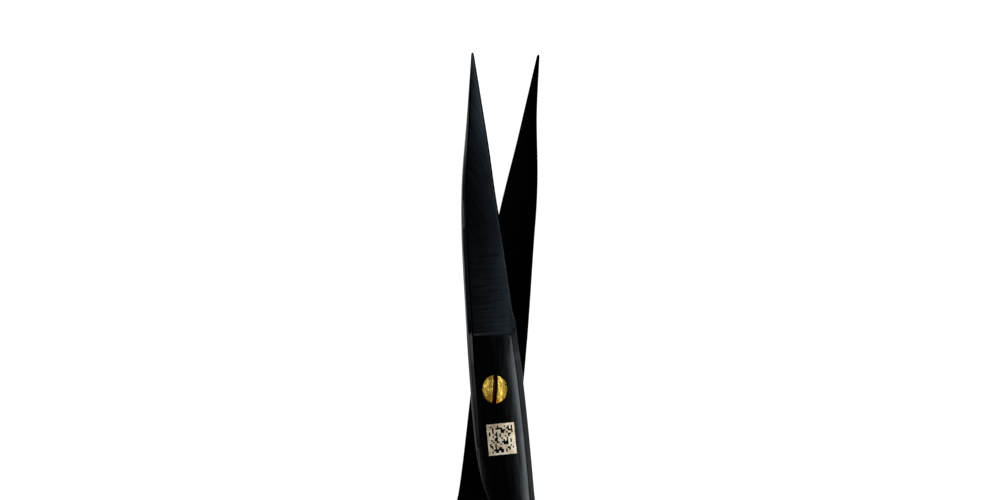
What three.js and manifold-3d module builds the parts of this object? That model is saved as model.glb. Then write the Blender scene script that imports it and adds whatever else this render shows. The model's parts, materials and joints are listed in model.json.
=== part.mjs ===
// Hair-cutting shears, lying flat and a little open. Millimetres, +Z up.
// The origin is the middle of the lock nut's flat face, on the pivot axis. The blades point along +Y.
// Each half is drawn closed, in its own frame: pivot at x = y = 0, shear plane at z = 0, spine of the
// blade towards -x, cutting edge and finger ring towards +x, outer face towards +z. The front half
// stands as drawn. The rear half is the same shape turned half a turn about Y.

import * as THREE from 'three';
import { mergeVertices } from 'three/addons/utils/BufferGeometryUtils.js';
import Module from 'manifold-3d';

const wasm = await Module();
wasm.setup();

// Driving dimensions
const bladeReach = 55.55; // pivot to tip
const openAngle = 11.25; // degrees between the halves, 0 when closed
const bodyThickness = 2.4; // one half at the pivot
const rideGap = 0.05; // from each half to the shear plane
const nutStand = 0.15; // lock nut proud of the rear half
const grindEnd = 8.9; // where the ground blade face stops, above the pivot
const grindRunout = 0.4; // length of the step at that end

const crownTop = rideGap + bodyThickness;
const shearHeight = crownTop + nutStand;

// Finger rings
const ringCentre = new THREE.Vector2(16.7, -67);
const ringHole = new THREE.Vector2(11.5, 13.8); // half width and half length of the metal hole
const ringWidth = 4.2;
const ringThickness = 2 * shearHeight;
const ringCorner = 1.7;
const ringSteps = 44;
const insertWall = 1.2;
const insertGap = 0.1;
const insertLip = 2.1; // half height of the insert

// Pivot
const headRadius = 2.3;
const headConeSlope = Math.tan(THREE.MathUtils.degToRad(60)); // radius gained per mm of height
const headNeck = 1.85;
const headSeatHeight = 1;
const seatGap = 0.15;
const shaftRadius = 1.5;
const shaftGap = 0.1;
const slotWidth = 0.7;
const slotFloor = 1.7;
const slotTurn = -0.8; // degrees from +Y
const washerInner = 1.75;
const washerOuter = 3.2;
const washerHalf = 0.22;
const washerRoom = 0.03;
const nutRadius = 2.85;
const nutThickness = 1.2;
const nutFloor = 0.45;
const nutSlotWidth = 0.8;
const springThickness = 0.25;
const springRoom = 0.03;
const turnSteps = 40;

// Bumper and finger rest
const bumperY = -62;
const bumperRadius = 1.7;
const bumperStem = 1.1;
const bumperGap = 0.12;
const bumperSeat = 2.1;
const bumperReach = 1.25; // past the line where the closed rings would meet
const bumperRoot = 4.1;
const restAngle = THREE.MathUtils.degToRad(-62); // place on the ring
const restStud = 1.1;
const restGap = 0.12;

// A smooth curve through [y, value] points that never overshoots them. y falls from tip to ring.
function curveThrough(points) {
  const slopes = points.slice(1).map(([y, value], i) => (value - points[i][1]) / (y - points[i][0]));
  const tangents = points.map((_, i) => {
    const before = slopes[i - 1];
    const after = slopes[i];
    if (before === undefined || after === undefined) return before ?? after;
    return before * after <= 0 ? 0 : (2 * before * after) / (before + after);
  });
  return (y) => {
    const found = points.findIndex(([at]) => at <= y);
    const right = found === -1 ? points.length - 1 : Math.max(found, 1);
    const [y0, v0] = points[right - 1];
    const [y1, v1] = points[right];
    const span = y1 - y0;
    const t = THREE.MathUtils.clamp((y - y0) / span, 0, 1);
    const hermite = (1 + 2 * t) * (1 - t) ** 2 * v0 + t * t * (3 - 2 * t) * v1;
    return hermite + span * t * (1 - t) * ((1 - t) * tangents[right - 1] - t * tangents[right]);
  };
}

// Plan of one half, closed: the spine side, the cutting edge side, and how far each side of the
// front half lies towards +x of the mean. The rear half's sides lie as far the other way.
const spineLine = curveThrough([
  [bladeReach, -0.2], [46, -1.25], [34, -2.94], [29, -3.34], [13, -4.01], [4, -4.26], [-8, -4.38],
  [-14, -4.1], [-18, -3.3], [-22, -1.8], [-26, -0.3], [-30, 0.9], [-36, 2.3], [-42, 3.6],
  [-48, 4.5], [-53, 4.5], [-59, 2.8],
]);
const edgeLine = curveThrough([
  [bladeReach, 0.22], [46, 1.15], [34, 2.31], [22, 3.38], [13, 3.87], [-2, 4.38], [-17, 4.53],
  [-24, 5.3], [-30, 6.3], [-36, 7.4], [-42, 8.7], [-45, 9.5], [-47, 10.8], [-48.6, 13],
  [-49.4, 15.4], [-59, 15.4],
]);
const spineSway = curveThrough([
  [bladeReach, 0], [44, -0.27], [27, -0.29], [13, 0], [-8, 0.46], [-17, 0.7], [-34, 0.4], [-50, 0],
  [-59, 0],
]);
const edgeSway = curveThrough([
  [bladeReach, 0], [42, -0.03], [30, -0.25], [13, 0], [1, 0.43], [-17, 0.8], [-34, 0.4], [-50, 0],
  [-59, 0],
]);

// Heights of one half above the shear plane. The blade is ground flat from spine to edge, the body
// behind it is crowned, and the shank drops below the shear plane and grows round towards the ring.
const bladeSpine = curveThrough([[bladeReach, 0.55], [40, 1.15], [22, 1.55], [grindEnd, 1.75]]);
const bladeEdge = curveThrough([[bladeReach, 0.4], [40, 0.75], [22, 1.05], [grindEnd, 1.25]]);
const bodyShoulder = curveThrough([[grindEnd, 1.85], [4, 2], [-24, 2], [-36, 1.5], [-50, 1.1]]);
const bodyCrown = curveThrough([[grindEnd, 0.4], [4, 0.45], [-24, 0.45], [-36, 0.95], [-50, 1.4]]);
const floorHeight = curveThrough([[-29, rideGap], [-34, -0.9], [-40, -2], [-47, -2.5], [-59, -2.5]]);
const bevelWidth = curveThrough([
  [bladeReach, 0.08], [44, 0.35], [28, 0.75], [13, 0.9], [-20, 0.9], [-34, 1.4], [-50, 1.5],
]);
const floorBevel = curveThrough([[-20, 0.05], [-34, 1], [-50, 1.4]]);
const edgeBevel = 0.25;
const edgeLand = 0.15;
const wallShare = 0.55; // height of the upright side wall, as a share of the shoulder

// One cross-section of the half at height y along the blade, as points around it.
function halfSection(y, sway, isBlade) {
  const spine = spineLine(y) + sway * spineSway(y);
  const edge = edgeLine(y) + sway * edgeSway(y);
  const floor = y > -29 ? rideGap : floorHeight(y);
  const lower = floorBevel(y);
  const spineBevel = bevelWidth(y);
  const edgeSide = isBlade ? Math.min(edgeBevel, (edge - spine) / 4) : spineBevel;
  const spineShoulder = isBlade ? bladeSpine(y) : bodyShoulder(y);
  const edgeShoulder = isBlade ? bladeEdge(y) : bodyShoulder(y);
  const rise = isBlade ? 0 : bodyCrown(y);
  const edgeWall = isBlade ? rideGap + edgeLand : wallShare * edgeShoulder;
  const crown = [-0.5, 0, 0.5].map((u) => [
    THREE.MathUtils.lerp(spine + spineBevel, edge - edgeSide, (u + 1) / 2),
    THREE.MathUtils.lerp(spineShoulder, edgeShoulder, (u + 1) / 2) + rise * (1 - u * u),
  ]);
  return [
    [spine, wallShare * spineShoulder],
    [spine + spineBevel, spineShoulder],
    ...crown,
    [edge - edgeSide, edgeShoulder],
    [edge, edgeWall],
    [edge, floor + lower],
    [edge - lower, floor],
    [spine + lower, floor],
    [spine, floor + lower],
  ].map(([x, z]) => new THREE.Vector3(x, y, z));
}

// Evenly spaced values from start to stop, without the last one.
function steps(start, stop, count) {
  return Array.from({ length: count }, (_, i) => THREE.MathUtils.lerp(start, stop, i / count));
}

// A closed solid from a row of cross-sections with equal numbers of points. The row either ends in
// two flat caps or, when looped, runs back into its first section.
function loft(sections, looped = false) {
  const size = sections[0].length;
  const positions = sections.flat().flatMap((point) => point.toArray());
  const triangles = [];
  const spans = looped ? sections.length : sections.length - 1;
  for (let row = 0; row < spans; row += 1) {
    const here = row * size;
    const next = ((row + 1) % sections.length) * size;
    for (let i = 0; i < size; i += 1) {
      const j = (i + 1) % size;
      triangles.push(here + i, next + i, here + j, next + i, next + j, here + j);
    }
  }
  if (!looped) {
    const last = (sections.length - 1) * size;
    for (let i = 1; i < size - 1; i += 1) {
      triangles.push(0, i, i + 1, last, last + i + 1, last + i);
    }
  }
  const geometry = new THREE.BufferGeometry();
  geometry.setAttribute('position', new THREE.Float32BufferAttribute(positions, 3));
  geometry.setIndex(triangles);
  return geometry;
}

function toSolid(geometry) {
  const bare = geometry.clone();
  bare.deleteAttribute('normal');
  bare.deleteAttribute('uv');
  const merged = mergeVertices(bare);
  const solid = new wasm.Manifold(new wasm.Mesh({
    numProp: 3,
    vertProperties: merged.getAttribute('position').array,
    triVerts: Uint32Array.from(merged.getIndex().array),
  }));
  return solid;
}

function toGeometry(solid) {
  const mesh = solid.getMesh();
  const geometry = new THREE.BufferGeometry();
  geometry.setAttribute('position', new THREE.Float32BufferAttribute(mesh.vertProperties, 3));
  geometry.setIndex(Array.from(mesh.triVerts));
  return geometry;
}

// A body turned about Z from [radius, height] points that start and end on the axis.
function turned(profile) {
  const points = profile.map(([radius, height]) => new THREE.Vector2(radius, height));
  const geometry = new THREE.LatheGeometry(points, turnSteps);
  return toSolid(geometry.rotateX(Math.PI / 2));
}

// A round hole or pin along X at the given y, from one x to another.
function crossPin(y, fromX, toX, radius, segments = 24) {
  const pin = new THREE.CylinderGeometry(radius, radius, Math.abs(toX - fromX), segments);
  pin.rotateZ(Math.PI / 2);
  pin.translate((fromX + toX) / 2, y, 0);
  return toSolid(pin);
}

// A point of the oval that lies a distance outside the ring's hole, and the direction away from it.
function ringPoint(angle, outside) {
  const onHole = new THREE.Vector2(Math.cos(angle) * ringHole.x, Math.sin(angle) * ringHole.y);
  const away = new THREE.Vector2(Math.cos(angle) / ringHole.x, Math.sin(angle) / ringHole.y).normalize();
  const point = onHole.addScaledVector(away, outside).add(ringCentre);
  return { point, away };
}

// A closed oval body from [distance outside the hole, height] points.
function ovalRing(section) {
  const sections = steps(0, 2 * Math.PI, ringSteps).map((angle) => section.map(([outside, height]) => {
    const { point } = ringPoint(angle, outside);
    return new THREE.Vector3(point.x, point.y, height);
  }));
  return loft(sections, true);
}

function handleRing() {
  const halfHeight = ringThickness / 2;
  const corners = [
    [ringWidth - ringCorner, halfHeight - ringCorner, 0],
    [ringCorner, halfHeight - ringCorner, 90],
    [ringCorner, ringCorner - halfHeight, 180],
    [ringWidth - ringCorner, ringCorner - halfHeight, 270],
  ];
  const section = corners.flatMap(([x, z, start]) => [0, 30, 60, 90].map((turn) => {
    const angle = THREE.MathUtils.degToRad(start + turn);
    return [x + ringCorner * Math.cos(angle), z + ringCorner * Math.sin(angle)];
  }));
  return toSolid(ovalRing(section));
}

// A soft lining that follows the inner side of the ring.
function ringInsert() {
  const straight = ringThickness / 2 - ringCorner;
  const metalAt = (z) => {
    const past = Math.max(Math.abs(z) - straight, 0);
    return ringCorner - Math.sqrt(ringCorner ** 2 - past ** 2);
  };
  const outer = [-insertLip, -0.75 * insertLip, -0.4 * insertLip, 0.4 * insertLip, 0.75 * insertLip,
    insertLip].map((z) => [metalAt(z) - insertGap, z]);
  const inner = [0.75 * insertLip, 0.3 * insertLip, -0.3 * insertLip, -0.75 * insertLip]
    .map((z) => [-insertWall * (1 - 0.3 * (z / insertLip) ** 2), z]);
  return ovalRing([...outer, ...inner]);
}

// Blade, body and shank, ending inside the outer half of the ring's bar.
function bladeAndShank(sway) {
  const rows = [
    ...steps(bladeReach, bladeReach - 1.2, 2).map((y) => [y, true]),
    ...steps(bladeReach - 1.2, 38, 6).map((y) => [y, true]),
    ...steps(38, 26, 6).map((y) => [y, true]),
    ...steps(26, grindEnd, 5).map((y) => [y, true]),
    [grindEnd, true],
    ...steps(grindEnd - grindRunout, -10, 5).map((y) => [y, false]),
    ...steps(-10, -46, 14).map((y) => [y, false]),
    ...steps(-46, -50, 6).map((y) => [y, false]),
    ...steps(-50, -59, 4).map((y) => [y, false]),
  ];
  const body = toSolid(loft(rows.map(([y, isBlade]) => halfSection(y, sway, isBlade))));
  const middle = ringWidth / 2;
  const room = ovalDisc(middle, ringThickness);
  return body.subtract(room);
}

// A plug that fills the ring's hole and a distance of its bar beyond it.
function ovalDisc(outside, height) {
  const outline = steps(0, 2 * Math.PI, ringSteps).map((angle) => ringPoint(angle, outside).point);
  const sections = [-height, height].map((z) => outline.map(({ x, y }) => new THREE.Vector3(x, y, z)));
  return toSolid(loft(sections.reverse()));
}

// A straight round body in the plane of the shears, from one plan point to another.
function planPin(from, to, radius) {
  const pin = new THREE.CylinderGeometry(radius, radius, from.distanceTo(to), 20);
  pin.rotateZ(Math.atan2(to.y - from.y, to.x - from.x) - Math.PI / 2);
  pin.translate((from.x + to.x) / 2, (from.y + to.y) / 2, 0);
  return toSolid(pin);
}

function plainHalf(sway) {
  return bladeAndShank(sway).add(handleRing());
}

// The front half: bore and seat for the screw head, and a recess for the glide washer.
function frontHalf() {
  const neck = headNeck + seatGap;
  const rim = headRadius + seatGap;
  const overhead = 1;
  const seat = turned([
    [0, headSeatHeight],
    [neck, headSeatHeight],
    [neck, crownTop - (rim - neck) / headConeSlope],
    [rim + overhead * headConeSlope, crownTop + overhead],
    [0, crownTop + overhead],
  ]);
  const bore = turned([[0, -1], [shaftRadius + shaftGap, -1], [shaftRadius + shaftGap, 2], [0, 2]]);
  return plainHalf(1).subtract(seat).subtract(bore).subtract(washerRecess());
}

function washerRecess() {
  const depth = washerHalf + washerRoom;
  const radius = washerOuter + shaftGap;
  return turned([[0, -depth], [radius, -depth], [radius, depth], [0, depth]]);
}

// The rear half: threaded bore, recess for the nut, and holes for the bumper and the finger rest.
function rearHalf() {
  const recess = nutRadius + shaftGap;
  const nutTop = shearHeight - nutThickness;
  const recessFloor = nutTop - springThickness - 2 * springRoom;
  const counterbore = turned([[0, recessFloor], [recess, recessFloor], [recess, 4], [0, 4]]);
  const bore = turned([[0, -1], [shaftRadius + rideGap, -1], [shaftRadius + rideGap, 3], [0, 3]]);
  const stemHole = crossPin(bumperY, -2, bumperRoot, bumperStem + bumperGap);
  const headHole = crossPin(bumperY, -2, bumperSeat, bumperRadius + bumperGap);
  const rest = restPath();
  const studHole = planPin(rest.root, rest.collar, restStud + restGap);
  return [counterbore, bore, washerRecess(), stemHole, headHole, studHole]
    .reduce((solid, cut) => solid.subtract(cut), plainHalf(-1));
}

// The slotted pivot screw. Its head is ground flush with the crown of the front half.
function pivotScrew() {
  const overhead = 0.15;
  const end = -(shearHeight - nutFloor - 0.05);
  const chamfer = 0.25;
  const blank = turned([
    [0, end],
    [shaftRadius - chamfer, end],
    [shaftRadius, end + chamfer],
    [shaftRadius, headSeatHeight + rideGap],
    [headNeck, headSeatHeight + rideGap],
    [headNeck, crownTop - (headRadius - headNeck) / headConeSlope],
    [headRadius + overhead * headConeSlope, crownTop + overhead],
    [0, crownTop + overhead],
  ]);
  const halfWidth = (edgeLine(0) - spineLine(0)) / 2 - bevelWidth(0);
  const crownRadius = halfWidth ** 2 / (2 * bodyCrown(0));
  const crownCentre = (edgeLine(0) + edgeSway(0) + spineLine(0) + spineSway(0)) / 2;
  const crown = new THREE.CylinderGeometry(crownRadius, crownRadius, 10, 180);
  crown.translate(crownCentre, 0, crownTop - crownRadius);
  crown.rotateZ(THREE.MathUtils.degToRad(openAngle / 2));
  const slot = new THREE.BoxGeometry(slotWidth, 4 * headRadius, 2);
  slot.translate(0, 0, slotFloor + 1);
  slot.rotateZ(THREE.MathUtils.degToRad(slotTurn));
  return toGeometry(blank.intersect(toSolid(crown)).subtract(toSolid(slot)));
}

function flatWasher(inner, outer, low, high) {
  const disc = turned([[0, low], [outer, low], [outer, high], [0, high]]);
  const hole = turned([[0, low - 1], [inner, low - 1], [inner, high + 1], [0, high + 1]]);
  return toGeometry(disc.subtract(hole));
}

function glideWasher() {
  return flatWasher(washerInner, washerOuter, -washerHalf, washerHalf);
}

function springWasher() {
  const low = -(shearHeight - nutThickness) + springRoom;
  return flatWasher(washerInner, nutRadius - shaftGap, low, low + springThickness);
}

// A closed nut with two spanner slots in its rim.
function lockNut() {
  const chamfer = 0.2;
  const face = -shearHeight;
  const top = face + nutThickness;
  const blank = turned([
    [0, face], [nutRadius - chamfer, face], [nutRadius, face + chamfer], [nutRadius, top], [0, top],
  ]);
  const threadRadius = shaftRadius + shaftGap / 2;
  const thread = turned([[0, face + nutFloor], [threadRadius, face + nutFloor], [threadRadius, 0], [0, 0]]);
  const slots = [-1, 1].map((side) => {
    const slot = new THREE.BoxGeometry(nutSlotWidth, 2, 1);
    slot.translate(0, side * (nutRadius + 0.1), face);
    return toSolid(slot);
  });
  return toGeometry(blank.subtract(thread).subtract(slots[0]).subtract(slots[1]));
}

// A rubber stop that meets the other ring when the shears close.
function bumper() {
  const profile = [
    [0, -bumperRoot + bumperGap],
    [bumperStem, -bumperRoot + bumperGap],
    [bumperStem, -bumperSeat + bumperGap],
    [bumperRadius, -bumperSeat + bumperGap],
    [bumperRadius, bumperReach - 0.6],
    [bumperRadius - 0.25, bumperReach - 0.2],
    [bumperRadius - 0.8, bumperReach],
    [0, bumperReach],
  ];
  const geometry = toGeometry(turned(profile));
  geometry.rotateY(-Math.PI / 2);
  geometry.translate(0, bumperY, 0);
  return geometry;
}

// Plan points of the finger rest: the end of its stud, its collar on the ring, and its route.
function restPath() {
  const { point, away } = ringPoint(restAngle, ringWidth);
  const collar = point.clone();
  const root = point.clone().addScaledVector(away, -ringWidth + 1.2);
  const reach = 17;
  const bend = point.clone().addScaledVector(away, 0.55 * reach);
  const tip = bend.clone().add(new THREE.Vector2(0.62 * reach, -0.18 * reach));
  return { root, collar, away, curve: new THREE.QuadraticBezierCurve(collar, bend, tip) };
}

// A curved rest for the little finger: a stud, a collar and a bar that tapers to a rounded end.
function fingerRest() {
  const { root, collar, away, curve } = restPath();
  const stand = collar.clone().addScaledVector(away, 0.35);
  const stud = planPin(root.clone().addScaledVector(away, restGap), stand, restStud);
  const radiusAt = (t) => {
    const taper = THREE.MathUtils.lerp(1.75, 1.5, t);
    const ends = Math.min(1, Math.sqrt(Math.max(1 - ((t - 0.93) / 0.08) ** 2, 0.1)));
    return t < 0.93 ? taper : taper * ends;
  };
  const bar = [...steps(0, 0.9, 8), ...steps(0.9, 1, 4), 1].map((t) => {
    const centre = curve.getPoint(t);
    const tangent = curve.getTangent(t);
    const radius = radiusAt(t);
    return steps(0, 2 * Math.PI, 14).map((angle) => new THREE.Vector3(
      centre.x + tangent.y * radius * Math.cos(angle),
      centre.y - tangent.x * radius * Math.cos(angle),
      radius * Math.sin(angle),
    ));
  });
  const clear = ovalDisc(ringWidth + restGap, ringThickness);
  const outside = toSolid(loft(bar)).subtract(clear);
  return toGeometry(outside.add(stud));
}

const blackSteel = { color: 0x14171a, roughness: 0.42, metalness: 1 };
const goldSteel = { color: 0xb98a2c, roughness: 0.3, metalness: 1 };
const blackRubber = { color: 0x16171a, roughness: 0.8, metalness: 0 };
const whitePlastic = { color: 0xdad8d0, roughness: 0.5, metalness: 0 };
const springSteel = { color: 0x8f9499, roughness: 0.35, metalness: 1 };

function named(name, geometry, finish) {
  const mesh = new THREE.Mesh(geometry, new THREE.MeshStandardMaterial(finish));
  mesh.name = name;
  return mesh;
}

const front = new THREE.Group();
front.rotation.z = THREE.MathUtils.degToRad(openAngle / 2);
front.add(named('front_half', toGeometry(frontHalf()), blackSteel));
front.add(named('thumb_ring_insert', ringInsert(), blackRubber));

const rearTurned = new THREE.Group();
rearTurned.rotation.y = Math.PI;
rearTurned.add(named('rear_half', toGeometry(rearHalf()), blackSteel));
rearTurned.add(named('finger_ring_insert', ringInsert(), blackRubber));
rearTurned.add(named('bumper', bumper(), blackRubber));
rearTurned.add(named('finger_rest', fingerRest(), blackSteel));

const rear = new THREE.Group();
rear.rotation.z = -THREE.MathUtils.degToRad(openAngle / 2);
rear.add(rearTurned);

const pivot = new THREE.Group();
pivot.add(named('pivot_screw', pivotScrew(), goldSteel));
pivot.add(named('glide_washer', glideWasher(), whitePlastic));
pivot.add(named('spring_washer', springWasher(), springSteel));
pivot.add(named('lock_nut', lockNut(), goldSteel));

const shears = new THREE.Group();
shears.position.z = shearHeight;
shears.add(front, rear, pivot);

export default shears;
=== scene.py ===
"""Hair-cutting shears: the fine surfaces, materials, floor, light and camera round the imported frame."""

import json
import math

import bmesh
import bpy
import numpy as np
from mathutils import Matrix, Vector


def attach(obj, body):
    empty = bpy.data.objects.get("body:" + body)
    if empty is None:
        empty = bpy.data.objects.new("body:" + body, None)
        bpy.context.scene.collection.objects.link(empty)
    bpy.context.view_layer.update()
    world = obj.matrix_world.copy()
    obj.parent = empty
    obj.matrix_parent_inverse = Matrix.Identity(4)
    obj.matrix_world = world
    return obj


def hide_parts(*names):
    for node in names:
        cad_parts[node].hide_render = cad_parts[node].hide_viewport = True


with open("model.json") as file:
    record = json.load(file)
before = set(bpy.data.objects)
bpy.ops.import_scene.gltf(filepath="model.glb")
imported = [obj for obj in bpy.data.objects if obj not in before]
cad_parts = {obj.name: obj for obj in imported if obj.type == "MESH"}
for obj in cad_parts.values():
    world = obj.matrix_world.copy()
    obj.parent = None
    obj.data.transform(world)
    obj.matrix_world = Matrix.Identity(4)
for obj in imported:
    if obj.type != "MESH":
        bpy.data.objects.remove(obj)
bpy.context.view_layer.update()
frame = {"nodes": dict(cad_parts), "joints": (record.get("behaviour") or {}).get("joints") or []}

MM = 0.001
PIVOT = frame["joints"][0]
SHEAR_HEIGHT = PIVOT["pos_m"][2] / MM
OPEN_ANGLE = -PIVOT["range_deg"][0]

# Sizes of the halves in millimetres, in the frame that part.mjs draws them in.
BLADE_REACH = 55.55  # from the pivot to the tips
RIDE_GAP = 0.05  # between a half's floor and the plane where the halves meet
GRIND_END = 8.9  # where the ground face ends and the whole body begins
CROWN_TOP = SHEAR_HEIGHT - 0.15  # height of the body's crown and of the screw's head
RING_CENTRE = np.array([16.7, -67.0])
RING_HOLE = np.array([11.5, 13.8])  # half the width and half the length of the oval hole
RING_WIDTH = 4.2
RING_CORNER = 1.7  # radius
BUMPER_Y = -62.0
CORNER_POINTS = 4  # points over each rounded corner of a section


# ------------------------------------------------------------------------------------------------
# Curves and mesh helpers


def curve_through(*points):
    """A smooth curve through (y, value) points that never overshoots them. y falls along the list."""
    ys, values = np.array(points[::-1], float).T
    slopes = np.diff(values) / np.diff(ys)
    both = slopes[:-1] * slopes[1:]
    total = slopes[:-1] + slopes[1:]
    inner = np.where(both > 0, 2 * both / np.where(total == 0, 1, total), 0)
    tangents = np.concatenate([slopes[:1], inner, slopes[-1:]])

    def value(y):
        y = np.clip(y, ys[0], ys[-1])
        i = np.clip(np.searchsorted(ys, y) - 1, 0, len(ys) - 2)
        span = ys[i + 1] - ys[i]
        t = (y - ys[i]) / span
        ends = (1 + 2 * t) * (1 - t) ** 2 * values[i] + t * t * (3 - 2 * t) * values[i + 1]
        return ends + span * t * (1 - t) * ((1 - t) * tangents[i] - t * tangents[i + 1])

    return value


def mix(a, b, share):
    return a + (b - a) * share


def smooth_step(value, low, high):
    t = np.clip((value - low) / (high - low), 0, 1)
    return t * t * (3 - 2 * t)


def unit(vector):
    return vector / np.linalg.norm(vector)


def round_corners(points, *cuts):
    """Curves over the inner points of a row. Each starts and stops its cut's length from its point."""
    curve = []
    for before, point, after, amount in zip(points, points[1:], points[2:], cuts):
        start = mix(point, before, min(amount / np.linalg.norm(before - point), 0.45))
        stop = mix(point, after, min(amount / np.linalg.norm(after - point), 0.45))
        curve += [(1 - t) ** 2 * start + 2 * t * (1 - t) * point + t * t * stop
                  for t in np.linspace(0, 1, CORNER_POINTS)]
    return curve


def new_object(name, vertices, faces, slots=None, materials=()):
    """A mesh object from points in millimetres. slots holds one material number for each face."""
    mesh = bpy.data.meshes.new(name)
    mesh.from_pydata([tuple(MM * c for c in v) for v in vertices], [], faces)
    if slots is not None:
        mesh.polygons.foreach_set("material_index", slots)
    bm = bmesh.new()
    bm.from_mesh(mesh)
    bmesh.ops.delete(bm, geom=[v for v in bm.verts if not v.link_faces], context="VERTS")
    bmesh.ops.recalc_face_normals(bm, faces=bm.faces)
    bm.to_mesh(mesh)
    bm.free()
    for material in materials:
        mesh.materials.append(material)
    obj = bpy.data.objects.new(name, mesh)
    bpy.context.scene.collection.objects.link(obj)
    return obj


def shade(obj, sharp_angle=32):
    """Smooth shading that breaks where faces meet at more than sharp_angle degrees."""
    bm = bmesh.new()
    bm.from_mesh(obj.data)
    for face in bm.faces:
        face.smooth = True
    for edge in bm.edges:
        edge.smooth = edge.calc_face_angle(0) < math.radians(sharp_angle)
    bm.to_mesh(obj.data)
    bm.free()


def apply_modifiers(obj):
    evaluated = obj.evaluated_get(bpy.context.evaluated_depsgraph_get())
    mesh = bpy.data.meshes.new_from_object(evaluated)
    obj.modifiers.clear()
    obj.data = mesh


def cut(obj, *cutters, operation="DIFFERENCE"):
    """Cuts the cutters out of obj, or keeps what lies inside them, and removes them."""
    for cutter in cutters:
        modifier = obj.modifiers.new("cut", "BOOLEAN")
        modifier.operation = operation
        modifier.solver = "EXACT"
        modifier.object = cutter
    bpy.context.view_layer.update()
    apply_modifiers(obj)
    for cutter in cutters:
        bpy.data.objects.remove(cutter)


def bevel(obj, width, angle):
    """Rounds off the edges where faces meet at more than an angle in degrees."""
    modifier = obj.modifiers.new("bevel", "BEVEL")
    modifier.width = width * MM
    modifier.segments = 2
    modifier.limit_method = "ANGLE"
    modifier.angle_limit = math.radians(angle)
    apply_modifiers(obj)


def skin(sections, closed_ends=True, looped=False):
    """Vertices and faces over a row of sections with equal numbers of points."""
    sections = np.array(sections, float)
    rows, size, _ = sections.shape
    faces = []
    for row in range(rows if looped else rows - 1):
        here, following = row * size, (row + 1) % rows * size
        faces += [(here + i, following + i, following + (i + 1) % size, here + (i + 1) % size)
                  for i in range(size)]
    if closed_ends and not looped:
        faces += [tuple(range(size)), tuple(range((rows - 1) * size, rows * size))]
    return sections.reshape(-1, 3), faces


def turned(name, profile, steps=96, materials=()):
    """A body turned about the pivot axis from (radius, height) points, first and last on the axis."""
    angles = np.linspace(0, 2 * math.pi, steps, endpoint=False)
    rings = [[(r * math.cos(a), r * math.sin(a), z) for a in angles] for r, z in profile[1:-1]]
    vertices, faces = skin(rings, closed_ends=False)
    bottom, top = len(vertices), len(vertices) + 1
    vertices = np.vstack([vertices, [(0, 0, profile[0][1])], [(0, 0, profile[-1][1])]])
    last = (len(rings) - 1) * steps
    faces += [(bottom, (i + 1) % steps, i) for i in range(steps)]
    faces += [(top, last + i, last + (i + 1) % steps) for i in range(steps)]
    return new_object(name, vertices, faces, materials=materials)


def block(name, size, centre, turn=0.0):
    """A box in millimetres, turned about Z by some degrees round the pivot."""
    corners = np.array([(x, y, z) for x in (-1, 1) for y in (-1, 1) for z in (-1, 1)]) / 2
    spin = np.array(Matrix.Rotation(math.radians(turn), 3, "Z"))
    corners = (corners * np.array(size) + np.array(centre)) @ spin.T
    faces = [(0, 1, 3, 2), (4, 6, 7, 5), (0, 4, 5, 1), (2, 3, 7, 6), (0, 2, 6, 4), (1, 5, 7, 3)]
    return new_object(name, corners, faces)


def pin(name, start, stop, radius, steps=48):
    """A round body between two points."""
    start, stop = np.array(start, float), np.array(stop, float)
    along = unit(stop - start)
    across = unit(np.cross(along, (0.1, 0.2, 1)))
    up = np.cross(along, across)
    ring = [radius * (math.cos(a) * across + math.sin(a) * up)
            for a in np.linspace(0, 2 * math.pi, steps, endpoint=False)]
    return new_object(name, *skin([[p + r for r in ring] for p in (start, stop)]))


# ------------------------------------------------------------------------------------------------
# Materials

NOISE_LOW, NOISE_HIGH = 0.3, 0.7  # noise seldom leaves this range
EDGE_LOW, EDGE_HIGH = 0.53, 0.62  # pointiness where wear begins and where it is full
WORN_STEEL = (0.05, 0.05, 0.047)

# Noise scales, per metre along each axis. Lines run along X.
FINE_LINES = (420, 5200, 420)
COARSE_LINES = (190, 2300, 190)
STEEL_CLOUDS = (420, 110, 300)
GOLD_CLOUDS = (1900, 1400, 1900)
GOLD_GRAIN = (5000, 3000, 5000)

# Places in millimetres along Y: of the blade's painted shade, of its lines' turn, and of the painted shade
# on the screw's -Y side.
PAINTED_SHADE_FROM, PAINTED_SHADE_TO = 8, 56
LINES_TURN_FROM, LINES_TURN_TO = 21, 31
GOLD_SHADE_FROM, GOLD_SHADE_TO = -0.6, -2.2
GOLD_SHADE_SHARE = 0.75


def node(tree, kind, inputs=None, **settings):
    """A shader node. Each input is a value or a socket to link."""
    made = tree.nodes.new("ShaderNode" + kind)
    for key, value in settings.items():
        setattr(made, key, value)
    for key, value in (inputs or {}).items():
        if isinstance(value, bpy.types.NodeSocket):
            tree.links.new(value, made.inputs[key])
        else:
            made.inputs[key].default_value = value
    return made


def base_material(name, **inputs):
    """A material, its tree and its main shader, with constant values for some of the inputs."""
    material = bpy.data.materials.new(name)
    material.use_nodes = True
    tree = material.node_tree
    shader = tree.nodes["Principled BSDF"]
    for key, value in inputs.items():
        shader.inputs[key.replace("_", " ")].default_value = value
    return material, tree, shader


def drawn_noise(tree, place, scale, detail=4.0):
    """Noise with its own scale, per metre, along each axis: high across the lines and low along them."""
    scaled = node(tree, "Mapping", {"Vector": place, "Scale": scale}).outputs["Vector"]
    return node(tree, "TexNoise", {"Vector": scaled, "Scale": 1.0, "Detail": detail,
                                   "Roughness": 0.6}).outputs["Fac"]


def ramp(tree, factor, *stops):
    """A colour ramp from (place, colour) stops. A colour is one grey value or three numbers."""
    made = node(tree, "ValToRGB", {"Fac": factor})
    elements = made.color_ramp.elements
    while len(elements) < len(stops):
        elements.new(0.5)
    for element, (place, colour) in zip(elements, stops):
        rgb = (colour,) * 3 if isinstance(colour, (int, float)) else colour
        element.position = place
        element.color = (*rgb, 1)
    return made.outputs["Color"]


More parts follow.
